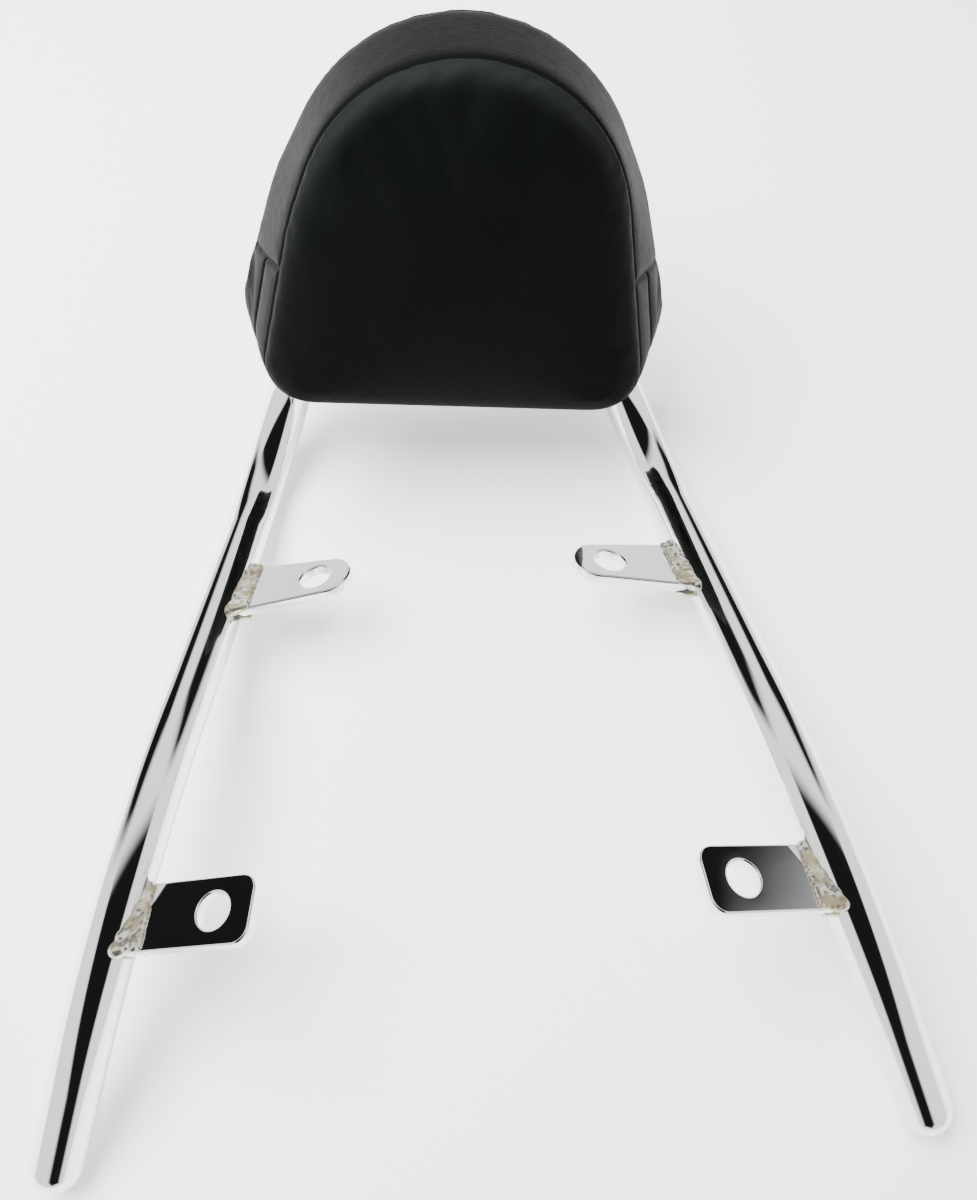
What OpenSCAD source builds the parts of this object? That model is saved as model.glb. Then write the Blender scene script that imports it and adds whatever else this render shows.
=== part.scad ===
// Motorcycle passenger backrest: two bent tube rails with four welded tabs, and a padded hoop.
// Millimetres, +Z up. The backrest stands on its two rail tips and its two rear bends.
// The origin is on the floor under the middle of the part's box. The rider sits towards -Y.

/* [Tube] */
// Outside diameter of the steel tube
tube_d = 25.4; // [22:0.1:28]
// Wall of the steel tube
tube_wall = 2; // [1.2:0.1:3]

/* [Rails] */
// Half the distance between the rail tips, centre to centre
tip_half = 206; // [190:1:225]
// Half the distance between the rear bends, centre to centre
bend_half = 114.5; // [113:0.5:116]
// How far behind the tips the rear bends lie
rail_run = 381.5; // [350:0.5:420]
// Slope at which the front of a rail rises from its tip, in degrees
rise_angle = 30.7; // [26:0.1:34]
// Slope at which the back of a rail falls to its bend, in degrees
fall_angle = 18.1; // [14:0.1:22]
// Angle in plan between the back of a rail and the centre plane
taper_angle = 10; // [7:0.5:13]
// Bend radius of the long crest of a rail
crest_r = 224; // [180:1:240]
// Bend radius where a rail turns up into the upright
bend_r = 76; // [60:1:76]

/* [Upright and hoop] */
// How far the upright and the pad lean back, in degrees
lean = 23.8; // [16:0.2:32]
// Angle at which the uprights close in towards each other
splay_angle = 20.9; // [20:0.1:23]
// Length of the splayed upright, from the corner of its bend to the corner of its leg
upright_len = 73; // [72.5:0.1:75]
// Bend radius where an upright turns into its parallel leg
leg_r = 36; // [20:1:36]
// Length of the straight stretch of each leg
leg_straight = 16; // [14:0.5:20]
// Bend radius of the hoop's two shoulders
hoop_r = 72; // [64:1:75]

/* [Tabs] */
// Thickness of a tab
tab_t = 6; // [4:0.5:8]
// Distance from the tube's axis to the end of a tab
tab_reach = 76; // [70:0.5:84]
// Distance from the tube's axis to the centre of a bolt hole
hole_reach = 55.5; // [50:0.5:58]
// Diameter of a bolt hole
hole_d = 17; // [9:0.5:18]
// Place of the front tabs behind the rail tips
front_tab_y = 103.5; // [90:0.5:120]
// Width of a front tab along the rail
front_tab_w = 32; // [28:0.5:40]
// Corner radius of a front tab
front_tab_r = 8; // [4:0.5:12]
// Slope of a front tab up towards the centre plane, in degrees
front_tab_roll = 21.5; // [10:0.5:30]
// Slope of a front tab down towards the back, in degrees
front_tab_pitch = 15; // [5:0.5:25]
// Place of the rear tabs behind the rail tips
rear_tab_y = 276; // [260:0.5:290]
// Width of a rear tab at its root
rear_tab_w = 38; // [34:0.5:44]
// Radius of the rounded end of a rear tab
rear_tab_r = 14; // [12:0.5:16]
// Slope of a rear tab up towards the centre plane, in degrees
rear_tab_roll = 15; // [5:0.5:25]
// Slope of a rear tab down towards the back, in degrees
rear_tab_pitch = 28; // [18:0.5:34]
// Radius of the weld lumps along a tab's root
weld_r = 4.4; // [3:0.1:5]

/* [Pad] */
// How far the pad's back seam stands beyond the tube on each side
side_room = 18; // [17:0.5:22]
// Height of the front panel
pad_h = 173.5; // [168:0.5:180]
// Radius of the front panel's domed top
dome_r = 78.5; // [74:0.5:82]
// Radius of the front panel's rounded flanks
flank_r = 87; // [84:0.5:90]
// Height of the middle of the flanks above the lower edge
flank_h = 75; // [70:1:80]
// Radius of the front panel's lower corners
corner_r = 22; // [16:0.5:26]
// How much wider the pad is at its back seam than at its front seam, on each side
side_flare = 18; // [15:0.5:20]
// Radius of the rounded flanks at the back seam
back_flank_r = 104; // [100:0.5:106]
// Height of the middle of those flanks above the lower edge
back_flank_h = 59; // [54:1:64]
// Radius of the lower corners at the back seam
back_corner_r = 24; // [20:0.5:28]
// How much lower the back seam's lower edge lies than the front seam's
back_drop = 6; // [2:0.5:8]
// How far the pad reaches down below the corner between an upright and its leg
pad_drop = 6; // [2:0.5:8]
// How far the front seam stands in front of the hoop's axis
seam_front = 44; // [40:0.5:50]
// How far the back seam stands behind the hoop's axis
seam_back = 10; // [9:0.5:12]
// How far the front panel is crowned beyond its seam
front_crown = 12; // [9:0.5:16]
// Width of the rounding round the front panel
front_round = 46; // [30:1:60]
// How far the back panel is crowned beyond its seam
back_crown = 10; // [9:0.5:12]
// Width of the rounding round the back panel
back_round = 14; // [10:0.5:16]
// Thickness of the cover
cover_t = 2; // [1.5:0.1:2.4]
// Diameter of the piping along the front seam
piping_d = 1.8; // [1.6:0.1:3]
// Height at which the upper band meets the side panels, at the front seam
band_seam_h = 75; // [68:1:84]
// How much that seam drops towards the back, in degrees
band_seam_angle = 12; // [6:1:18]
// How far in front of the hoop's axis the side panels meet the back panel
side_seam = 20; // [16:0.5:26]
// Half the width of the lower band
lower_band_half = 70; // [62:1:72]
// How far the pad has turned on its hoop, clockwise from the front, in degrees
pad_turn = 5.5; // [0:0.5:6]

/* [Fixings in the pad] */
// Thickness of the board
board_t = 6; // [4:0.5:9]
// How far the board's edge stays inside the front seam
board_inset = 9; // [8:0.5:12]
// Thickness of a tube clip
clip_t = 1.5; // [1:0.1:2]
// Width of a tube clip along the tube
clip_w = 12; // [10:0.5:14]
// Distance from the tube's axis to the clip's screw
clip_screw = 22; // [20:0.5:24]
// Diameter of the clip screws
screw_d = 5; // [4:0.5:6]
// Diameter of the screw heads
screw_head_d = 9; // [8:0.5:10]
// Height of the screw heads
screw_head_h = 2.5; // [2:0.1:3]
// Diameter of the tee nuts' flanges
tee_d = 16; // [13:0.5:18]
// Thickness of the tee nuts' flanges
tee_t = 1.2; // [1:0.1:1.6]
// Diameter of the tee nuts' barrels
barrel_d = 7; // [6.5:0.1:8]
// Clearance round the screws and the tee nuts
fit_gap = 0.1; // [0.05:0.05:0.2]
// Clearance between soft pieces and what they lie against
soft_gap = 0.3; // [0.3:0.05:0.6]

/* [Hidden] */

chrome = "gainsboro";
weld_grey = [0.62, 0.6, 0.52];
zinc = [0.7, 0.72, 0.74];
leather = [0.09, 0.1, 0.09];
band_grey = [0.22, 0.24, 0.22];
foam_tan = [0.85, 0.8, 0.65];
board_brown = [0.6, 0.45, 0.3];
eps = 0.01;
$fn = 64;

// A bend is a touch slimmer than the straights, which run a touch into it
bend_neck = 0.02;
bend_lap = 0.3;

tube_r = tube_d / 2;
bore_r = tube_r - tube_wall;

leg_half = bend_half - upright_len * sin(splay_angle);
pad_w = 2 * (leg_half + tube_r + side_room - side_flare);

function unit(v) = v / norm(v);
function mirrored(p) = [-p[0], p[1], p[2]];

// Directions of the right rail's back and of its upright
back_dir = unit([-tan(taper_angle), 1, -tan(fall_angle)]);
up_dir = [-sin(splay_angle), cos(splay_angle) * sin(lean), cos(splay_angle) * cos(lean)];
slope_up = [0, sin(lean), cos(lean)];
face_out = [0, -cos(lean), sin(lean)];

// A bend turns from direction a to direction b
function turn(a, b) = acos(a * b);
function inward(a, b) = unit(b - (a * b) * a);
function reach(a, b, r) = r * tan(turn(a, b) / 2);

// The lowest point of the rear bend touches the floor, which sets its corner's height
bend_turn = turn(back_dir, up_dir);
low_at = atan2(-back_dir[2] * sin(bend_turn), up_dir[2] - back_dir[2] * cos(bend_turn));
bend_in = inward(back_dir, up_dir);
low_drop = -reach(back_dir, up_dir, bend_r) * back_dir[2] + bend_r * bend_in[2]
    + bend_r * (sin(low_at) * back_dir[2] - cos(low_at) * bend_in[2]);
bend_z = tube_r - low_drop;

// Corners of the right rail's centre line, before its bends are rounded
tip = [tip_half, 0, tube_r];
bend_corner = [bend_half, rail_run, bend_z];
crest_y = (bend_z - tube_r + rail_run * tan(fall_angle)) / (tan(rise_angle) + tan(fall_angle));
crest_corner = bend_corner - back_dir * (rail_run - crest_y) / back_dir[1];
leg_corner = bend_corner + up_dir * upright_len;
leg_start = upright_len * cos(splay_angle);
leg_low = leg_start + leg_r * tan(splay_angle / 2);
leg_high = leg_low + leg_straight;
hoop_top = leg_high + hoop_r;
joint_at = hoop_place([leg_half, leg_high - leg_straight / 4, 0]);
hoop_corner = hoop_place([leg_half, hoop_top, 0]);
rail_line = [tip, crest_corner, bend_corner, leg_corner, joint_at];
rail_radii = [0, crest_r, bend_r, leg_r, 0];
hoop_line = [joint_at, hoop_corner, mirrored(hoop_corner), mirrored(joint_at)];
hoop_radii = [0, hoop_r, hoop_r, 0];

// A place on the hoop's own plane: across, up along the plane, out from it to the front
function hoop_place(p) = [p[0], rail_run, bend_z] + p[1] * slope_up + p[2] * face_out;

// Where the right rail's centre line is at distance y behind the tips, on its crest's arc
front_dir = unit(crest_corner - tip);
crest_in = inward(front_dir, back_dir);
crest_start = crest_corner - reach(front_dir, back_dir, crest_r) * front_dir;
crest_centre = crest_start + crest_r * crest_in;
crest_end = crest_corner + reach(front_dir, back_dir, crest_r) * back_dir;
function arc_point(a) = crest_centre + crest_r * (sin(a) * front_dir - cos(a) * crest_in);
function arc_dir(a) = cos(a) * front_dir + sin(a) * crest_in;
function arc_angle(y, low, high, n) = n == 0 ? (low + high) / 2 :
    arc_point((low + high) / 2)[1] < y ? arc_angle(y, (low + high) / 2, high, n - 1)
    : arc_angle(y, low, (low + high) / 2, n - 1);
crest_turn = turn(front_dir, back_dir);
search_steps = 24;
function rail_point(y) = y < crest_start[1] ? tip + front_dir * y / front_dir[1]
    : y > crest_end[1] ? bend_corner - back_dir * (rail_run - y) / back_dir[1]
    : arc_point(arc_angle(y, 0, crest_turn, search_steps));
function rail_dir(y) = y < crest_start[1] ? front_dir : y > crest_end[1] ? back_dir
    : arc_dir(arc_angle(y, 0, crest_turn, search_steps));

// Tabs: their own axes run inward along the tab, back along the rail, and out of the upper face
front_tab_turn = [-front_tab_pitch, front_tab_roll, 0];
rear_tab_turn = [-rear_tab_pitch, rear_tab_roll, 0];
front_tab_at = rail_point(front_tab_y);
rear_tab_at = rail_point(rear_tab_y);

// Pad: its own axes run across, up from the lower edge, and out of the hoop's plane
pad_low = leg_start - pad_drop;
dome_h = pad_h - dome_r;
corner_x = pad_w / 2 - corner_r;
back_corner_x = pad_w / 2 + side_flare - back_corner_r;
back_corner_y = back_corner_r - back_drop;
front_outline = [[0, dome_h, dome_r], [0, flank_h, flank_r], [corner_x, corner_r, corner_r],
    [-corner_x, corner_r, corner_r]];
back_outline = [[0, dome_h, dome_r], [0, back_flank_h, back_flank_r],
    [back_corner_x, back_corner_y, back_corner_r], [-back_corner_x, back_corner_y, back_corner_r]];
weld_stand = 0.2;
cap_taper = 0.7;
cap_depth = 0.6;
corners_from = 2;
crown_steps = 3;
outline_fn = 72;
piping_fn = 96;
piping_sides = 8;
piping_seat = 0.2;
wide = 2 * pad_w;

// Board, clips and screws. The clips pass between the tube and the board.
board_back = tube_r + clip_t;
board_front = board_back + board_t;
clip_h = (leg_low + leg_high) / 2;
clip_end = clip_screw + screw_head_d / 2 + 1;
barrel_len = board_t - 1;

// Places a child, drawn upwards from the origin, at p and turns it along d
module aim(p, d) {
    translate(p)
        rotate([0, acos(d[2] / norm(d)), atan2(d[1], d[0])])
            children();
}

// A round bar along straight pieces that are rounded at the corners
module bent_bar(line, radii, r) {
    last = len(line) - 1;
    for (i = [0 : last - 1]) {
        d = unit(line[i + 1] - line[i]);
        start_cut = i == 0 ? 0 : reach(unit(line[i] - line[i - 1]), d, radii[i]) - bend_lap;
        end_cut = i == last - 1 ? 0 : reach(d, unit(line[i + 2] - line[i + 1]), radii[i + 1]) - bend_lap;
        aim(line[i] + d * start_cut, d)
            cylinder(r = r, h = norm(line[i + 1] - line[i]) - start_cut - end_cut);
    }
    for (i = [1 : last - 1])
        elbow(line[i], unit(line[i] - line[i - 1]), unit(line[i + 1] - line[i]), radii[i], r - bend_neck);
}

// One bend of a round bar, from direction a to direction b
module elbow(corner, a, b, bend, r) {
    n = inward(a, b);
    c = corner - reach(a, b, bend) * a + bend * n;
    z = cross(-n, a);
    axes = [for (i = [0 : 2]) [-n[i], a[i], z[i], c[i]]];
    multmatrix(concat(axes, [[0, 0, 0, 1]]))
        rotate_extrude(angle = turn(a, b), $fn = 96)
            translate([bend, 0])
                circle(r = r);
}

// A line whose ends stop short by the wall, so that the tube's bore is closed at both ends
function short_line(line) = let (last = len(line) - 1)
    [for (i = [0 : last]) i == 0 ? line[0] + unit(line[1] - line[0]) * tube_wall
        : i == last ? line[last] + unit(line[last - 1] - line[last]) * tube_wall : line[i]];

module closed_tube(line, radii) {
    difference() {
        bent_bar(line, radii, tube_r);
        bent_bar(short_line(line), radii, bore_r);
    }
}

module right_rail_shape() {
    closed_tube(rail_line, rail_radii);
}

// The domed plug that closes a rail's tip
module right_cap_shape() {
    aim(tip, -front_dir)
        difference() {
            sphere(r = tube_r);
            translate([0, 0, -tube_d])
                cylinder(r = tube_d, h = tube_d);
            translate([0, 0, -eps])
                cylinder(r1 = bore_r, r2 = bore_r * cap_taper, h = tube_r * cap_depth);
        }
}

// A flat front tab with rounded inner corners, drawn along +X from the tube's axis
module front_tab_plate() {
    half = front_tab_w / 2;
    linear_extrude(height = tab_t, center = true)
        difference() {
            union() {
                translate([0, -half])
                    square([tab_reach - front_tab_r, front_tab_w]);
                translate([0, -half + front_tab_r])
                    square([tab_reach, front_tab_w - 2 * front_tab_r]);
                for (side = [-1, 1])
                    translate([tab_reach - front_tab_r, side * (half - front_tab_r)])
                        circle(r = front_tab_r);
            }
            translate([hole_reach, 0])
                circle(d = hole_d);
        }
}

// A tapered rear tab with a round end
module rear_tab_plate() {
    half = rear_tab_w / 2;
    end_x = tab_reach - rear_tab_r;
    flank = asin((half - rear_tab_r) / end_x);
    meet_x = end_x + rear_tab_r * sin(flank);
    linear_extrude(height = tab_t, center = true)
        difference() {
            union() {
                polygon([[0, -half / cos(flank)], [meet_x, -rear_tab_r * cos(flank)],
                    [meet_x, rear_tab_r * cos(flank)], [0, half / cos(flank)]]);
                translate([end_x, 0])
                    circle(r = rear_tab_r);
            }
            translate([hole_reach, 0])
                circle(d = hole_d);
        }
}

module right_front_tab_shape() {
    difference() {
        translate(front_tab_at) rotate(front_tab_turn) mirror([1, 0, 0]) front_tab_plate();
        bent_bar(rail_line, rail_radii, tube_r);
    }
}

module right_rear_tab_shape() {
    difference() {
        translate(rear_tab_at) rotate(rear_tab_turn) mirror([1, 0, 0]) rear_tab_plate();
        bent_bar(rail_line, rail_radii, tube_r);
    }
}

// A tab's own axes: inward along it, back along the rail, and out of its upper face
function tab_in(r) = [-cos(r), 0, sin(r)];
function tab_back(p, r) = [-sin(p) * sin(r), cos(p), -sin(p) * cos(r)];
function tab_up(p, r) = [cos(p) * sin(r), sin(p), cos(p) * cos(r)];

// A weld bead along both sides of a tab's root, where the tube runs along d
module weld_beads(at, d, p, r, width) {
    run = (width + 2 * weld_r) / (d * tab_back(p, r));
    side_way = unit(tab_in(r) - (tab_in(r) * d) * d);
    up = tab_up(p, r) * (tab_t / 2 + weld_stand * weld_r);
    for (side = [-1, 1])
        aim(at + side_way * tube_r + up * side - d * run / 2, d)
            cylinder(r = weld_r, h = run);
}

module right_front_weld_shape() {
    difference() {
        weld_beads(front_tab_at, rail_dir(front_tab_y), front_tab_pitch, front_tab_roll, front_tab_w);
        bent_bar(rail_line, rail_radii, tube_r);
        translate(front_tab_at) rotate(front_tab_turn) mirror([1, 0, 0]) front_tab_plate();
    }
}

module right_rear_weld_shape() {
    difference() {
        weld_beads(rear_tab_at, rail_dir(rear_tab_y), rear_tab_pitch, rear_tab_roll, rear_tab_w);
        bent_bar(rail_line, rail_radii, tube_r);
        translate(rear_tab_at) rotate(rear_tab_turn) mirror([1, 0, 0]) rear_tab_plate();
    }
}

// The part's front and back ends, and the middle between them, which the origin lies under
function along_y(p) = rail_run + (pad_low + p[1] * cos(pad_turn) - p[0] * sin(pad_turn)) * sin(lean)
    - p[2] * cos(lean);
back_end = max([for (r = back_rings(0)) for (p = r) along_y(p)]);
mid_y = (back_end - tube_r) / 2;

module centred() {
    translate([0, -mid_y, 0]) children();
}

// Puts a child on the hoop's plane, or on the pad's turned plane
module on_hoop() {
    translate([0, rail_run, bend_z]) rotate([90 - lean, 0, 0]) children();
}
module on_pad() {
    on_hoop() translate([0, pad_low, 0]) rotate([0, 0, -pad_turn]) children();
}

// The point of an outline that lies furthest in direction a. Below, only its corner circles count.
function furthest(outline, a, under) = let (n = [cos(a), sin(a)],
    best = [for (i = [(n[1] < 0 ? corners_from : 0) : len(outline) - 1]) let (c = outline[i])
        [c[0], c[1]] + (c[2] - under) * n],
    far = max([for (p = best) p * n]))
    [for (p = best) if (p * n > far - eps / 10) p][0];

// One ring of the pad: its outline drawn in towards the middle by a factor
function ring(outline, z, factor, under) = [for (i = [0 : outline_fn - 1])
    let (p = furthest(outline, 360 * (i + 0.5) / outline_fn, under))
    [p[0] * factor, flank_h + (p[1] - flank_h) * factor, z]];
function drawn_in(round_w, a) = 1 - round_w / (pad_w / 2) * (1 - cos(a));

function back_rings(under) = [for (i = [crown_steps : -1 : 0]) let (a = 90 * i / crown_steps)
    ring(back_outline, -seam_back - (back_crown - under) * sin(a), drawn_in(back_round, a), under)];

// The whole pad as rings from the back crown to the front crown, thinner by the margin under its skin
module pad_form(under) {
    front = [for (i = [0 : crown_steps]) let (a = 90 * i / crown_steps)
        ring(front_outline, seam_front + (front_crown - under) * sin(a), drawn_in(front_round, a), under)];
    rings = concat(back_rings(under), front);
    n = outline_fn;
    last = len(rings) - 1;
    sides = [for (j = [0 : last - 1]) for (i = [0 : n - 1])
        let (a = j * n + i, b = j * n + (i + 1) % n)
        each [[a, a + n, b], [b, a + n, b + n]]];
    ends = [[for (i = [0 : n - 1]) i], [for (i = [n - 1 : -1 : 0]) last * n + i]];
    polyhedron(points = [for (r = rings) each r], faces = concat(sides, ends));
}

module cover_shell() {
    difference() {
        pad_form(0);
        pad_form(cover_t);
    }
}

// A slab across the pad with a profile given as [out, up] points
module profile_slab(points) {
    rotate([0, -90, 0])
        linear_extrude(height = wide, center = true)
            polygon(points);
}

// Height of the seam between the upper band and the side panels at a distance out
function seam_h(z) = band_seam_h - (seam_front - z) * tan(band_seam_angle);

// The part of the band region below that seam, between two distances out
module below_seam(z0, z1) {
    profile_slab([[z0, -wide], [z1, -wide], [z1, seam_h(z1)], [z0, seam_h(z0)]]);
}

// Everything further right than x
module right_of(x) {
    translate([x, -wide, -wide]) cube([wide, 3 * wide, 2 * wide]);
}

// Both rails and the hoop as solid bars
module all_tubes(r) {
    for (side = [0, 1])
        mirror([side, 0, 0]) bent_bar(rail_line, rail_radii, r);
    bent_bar(hoop_line, hoop_radii, r);
}

// The three places on the hoop where a clip and its screw sit
module at_clips() {
    on_hoop() {
        translate([-leg_half, clip_h, 0]) children();
        translate([leg_half, clip_h, 0]) mirror([1, 0, 0]) children();
        translate([0, hoop_top, 0]) rotate([0, 0, -90]) children();
    }
}

// A clip round a tube along Y, with a doubled ear towards +X
module clip_shape(gap) {
    difference() {
        union() {
            rotate([90, 0, 0])
                cylinder(r = tube_r + clip_t + gap, h = clip_w + 2 * gap, center = true);
            translate([0, -clip_w / 2 - gap, tube_r - clip_t - gap])
                cube([clip_end + gap, clip_w + 2 * gap, 2 * clip_t + gap]);
        }
        rotate([90, 0, 0])
            cylinder(r = tube_r, h = wide, center = true);
        translate([clip_screw, 0, 0])
            cylinder(d = screw_d + 2 * fit_gap, h = 2 * tube_d);
    }
}

// What the rear foam leaves free round a clip and its screw's head
module clip_room() {
    clip_shape(soft_gap);
    translate([clip_screw, 0, tube_r - clip_t - screw_head_h - soft_gap])
        cylinder(d = screw_head_d + 2 * soft_gap, h = screw_head_h + 3 * clip_t);
}

module screw_shape() {
    translate([clip_screw, 0, tube_r - clip_t - screw_head_h])
        cylinder(d = screw_head_d, h = screw_head_h);
    translate([clip_screw, 0, tube_r - clip_t - eps])
        cylinder(d = screw_d, h = board_front - tube_r + clip_t + eps);
}

module tee_nut_shape() {
    translate([clip_screw, 0, board_front])
        difference() {
            union() {
                cylinder(d = tee_d, h = tee_t);
                translate([0, 0, -barrel_len])
                    cylinder(d = barrel_d, h = barrel_len + tee_t);
            }
            translate([0, 0, -barrel_len - 1])
                cylinder(d = screw_d + 2 * fit_gap, h = barrel_len + tee_t + 2);
        }
}

module piping_shape() {
    r = piping_d / 2;
    points = [for (i = [0 : piping_fn - 1]) for (j = [0 : piping_sides - 1])
        let (a = 360 * i / piping_fn, b = 360 * j / piping_sides,
            p = furthest(front_outline, a, -r - piping_seat - r * cos(b)))
        [p[0], p[1], seam_front + r * sin(b)]];
    faces = [for (i = [0 : piping_fn - 1]) for (j = [0 : piping_sides - 1])
        let (k = (i + 1) % piping_fn, l = (j + 1) % piping_sides,
            a = i * piping_sides, b = k * piping_sides)
        each [[a + j, a + l, b + j], [b + j, a + l, b + l]]];
    polyhedron(points = points, faces = faces);
}

module left_rail() { color(chrome) mirror([1, 0, 0]) right_rail_shape(); }
module right_rail() { color(chrome) right_rail_shape(); }
module left_rail_cap() { color(chrome) mirror([1, 0, 0]) right_cap_shape(); }
module right_rail_cap() { color(chrome) right_cap_shape(); }
module pad_hoop() { color(chrome) closed_tube(hoop_line, hoop_radii); }
module left_front_tab() { color(chrome) mirror([1, 0, 0]) right_front_tab_shape(); }
module right_front_tab() { color(chrome) right_front_tab_shape(); }
module left_rear_tab() { color(chrome) mirror([1, 0, 0]) right_rear_tab_shape(); }
module right_rear_tab() { color(chrome) right_rear_tab_shape(); }
module left_front_weld() { color(weld_grey) mirror([1, 0, 0]) right_front_weld_shape(); }
module right_front_weld() { color(weld_grey) right_front_weld_shape(); }
module left_rear_weld() { color(weld_grey) mirror([1, 0, 0]) right_rear_weld_shape(); }
module right_rear_weld() { color(weld_grey) right_rear_weld_shape(); }

function board_outline(inset) = [for (i = [0 : outline_fn - 1])
    furthest(front_outline, 360 * (i + 0.5) / outline_fn, inset)];

// The plywood board that the foam is glued to, drilled for the tee nuts
module pad_board() {
    color(board_brown)
        difference() {
            on_pad()
                translate([0, 0, board_back])
                    linear_extrude(height = board_t)
                        polygon(board_outline(board_inset));
            at_clips()
                translate([clip_screw, 0, 0])
                    cylinder(d = barrel_d + 2 * fit_gap, h = 3 * tube_d);
        }
}

module left_clip_shape() { on_hoop() translate([-leg_half, clip_h, 0]) clip_shape(0); }
module left_clip() { color(zinc) left_clip_shape(); }
module right_clip() { color(zinc) mirror([1, 0, 0]) left_clip_shape(); }
module top_clip() { color(zinc) on_hoop() translate([0, hoop_top, 0]) rotate([0, 0, -90]) clip_shape(0); }
module clip_screws() { color(zinc) at_clips() screw_shape(); }
module tee_nuts() { color(zinc) at_clips() tee_nut_shape(); }

// The thick foam between the board and the front panel
module front_foam() {
    color(foam_tan)
        difference() {
            on_pad()
                intersection() {
                    pad_form(cover_t + soft_gap);
                    translate([-wide / 2, -wide / 2, board_front]) cube([wide, 2 * wide, wide]);
                }
            at_clips()
                translate([clip_screw, 0, board_front - 1])
                    cylinder(d = tee_d + 2 * soft_gap, h = tee_t + soft_gap + 1);
        }
}

// The foam round the hoop and the board's rim, behind the front foam
module rear_foam() {
    color(foam_tan)
        difference() {
            on_pad()
                intersection() {
                    pad_form(cover_t + soft_gap);
                    translate([-wide / 2, -wide / 2, board_front - soft_gap - wide])
                        cube([wide, 2 * wide, wide]);
                }
            on_pad()
                translate([0, 0, board_back - soft_gap])
                    linear_extrude(height = board_t + 2 * soft_gap)
                        polygon(board_outline(board_inset - soft_gap));
            all_tubes(tube_r + soft_gap);
            at_clips() clip_room();
        }
}

module front_panel() {
    color(leather) on_pad()
        intersection() {
            cover_shell();
            translate([-wide / 2, -wide / 2, seam_front]) cube([wide, 2 * wide, wide]);
        }
}

module upper_band() {
    color(band_grey) on_pad()
        intersection() {
            cover_shell();
            profile_slab([[-seam_back, seam_h(-seam_back)], [seam_front, seam_h(seam_front)],
                [seam_front, 2 * wide], [-seam_back, 2 * wide]]);
        }
}

module side_panel(side) {
    color(band_grey) on_pad()
        intersection() {
            cover_shell();
            below_seam(side_seam, seam_front);
            mirror([side, 0, 0]) right_of(lower_band_half);
        }
}
module left_side_panel() { side_panel(1); }
module right_side_panel() { side_panel(0); }

module lower_band() {
    color(band_grey) on_pad()
        difference() {
            intersection() {
                cover_shell();
                below_seam(-seam_back, seam_front);
            }
            right_of(lower_band_half);
            mirror([1, 0, 0]) right_of(lower_band_half);
        }
}

// The back panel wraps round both legs, so it has the two openings for the tubes
module back_panel() {
    color(leather)
        difference() {
            on_pad()
                intersection() {
                    cover_shell();
                    union() {
                        translate([-wide / 2, -wide / 2, -seam_back - wide]) cube([wide, 2 * wide, wide]);
                        for (side = [0, 1])
                            mirror([side, 0, 0])
                                intersection() {
                                    below_seam(-seam_back - eps, side_seam);
                                    right_of(lower_band_half);
                                }
                    }
                }
            all_tubes(tube_r + soft_gap);
        }
}

module front_piping() { color(leather) on_pad() piping_shape(); }

centred() left_rail();
centred() right_rail();
centred() left_rail_cap();
centred() right_rail_cap();
centred() pad_hoop();
centred() left_front_tab();
centred() right_front_tab();
centred() left_rear_tab();
centred() right_rear_tab();
centred() left_front_weld();
centred() right_front_weld();
centred() left_rear_weld();
centred() right_rear_weld();
centred() pad_board();
centred() left_clip();
centred() right_clip();
centred() top_clip();
centred() clip_screws();
centred() tee_nuts();
centred() front_foam();
centred() rear_foam();
centred() front_panel();
centred() upper_band();
centred() left_side_panel();
centred() right_side_panel();
centred() lower_band();
centred() back_panel();
centred() front_piping();
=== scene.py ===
"""Motorcycle passenger backrest: bent chrome rails, bolt tabs, and a padded rest on an upright hoop.

Metres, +Z up. The rail tips point to -Y and the pad stands at +Y. Each operator builds one group of pieces.
"""

import bisect
import math
import random

import bmesh
import bpy
from mathutils import Matrix, Vector, kdtree


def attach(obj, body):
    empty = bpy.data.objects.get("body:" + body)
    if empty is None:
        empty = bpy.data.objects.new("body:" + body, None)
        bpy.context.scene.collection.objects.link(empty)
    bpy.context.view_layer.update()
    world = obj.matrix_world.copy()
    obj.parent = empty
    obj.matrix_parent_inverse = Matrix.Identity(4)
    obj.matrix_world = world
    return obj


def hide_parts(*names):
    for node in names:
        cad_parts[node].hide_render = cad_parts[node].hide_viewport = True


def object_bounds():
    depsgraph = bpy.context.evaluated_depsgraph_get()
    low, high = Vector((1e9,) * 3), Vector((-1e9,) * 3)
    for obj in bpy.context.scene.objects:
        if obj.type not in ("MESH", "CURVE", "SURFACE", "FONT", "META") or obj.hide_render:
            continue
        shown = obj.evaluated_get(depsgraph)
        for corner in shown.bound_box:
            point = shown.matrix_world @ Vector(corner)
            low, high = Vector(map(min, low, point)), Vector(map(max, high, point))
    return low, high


bl_info = {
    "name": "Motorcycle Passenger Backrest",
    "version": (1, 0, 0),
    "blender": (4, 5, 0),
    "location": "View3D > Sidebar > Backrest",
    "description": "Builds a chrome motorcycle backrest with a padded leather rest",
    "category": "Object",
}

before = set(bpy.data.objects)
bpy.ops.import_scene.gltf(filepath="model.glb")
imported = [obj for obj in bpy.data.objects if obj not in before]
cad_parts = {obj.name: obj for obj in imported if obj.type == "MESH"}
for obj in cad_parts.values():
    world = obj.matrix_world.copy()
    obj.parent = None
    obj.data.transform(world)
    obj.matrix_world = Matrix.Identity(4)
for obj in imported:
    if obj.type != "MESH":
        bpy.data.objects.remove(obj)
CAD_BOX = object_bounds()
MM = 0.001
ROOT = "root"
COVER_PANELS = ("front_panel", "upper_band", "left_side_panel", "right_side_panel", "lower_band",
                "back_panel")

# How the welds' lumps are laid and melted together
WELD_STEPS = 12
WELD_ROWS = 5
WELD_CELL = 0.7 * MM
WELD_ROUNDS = 6

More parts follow.
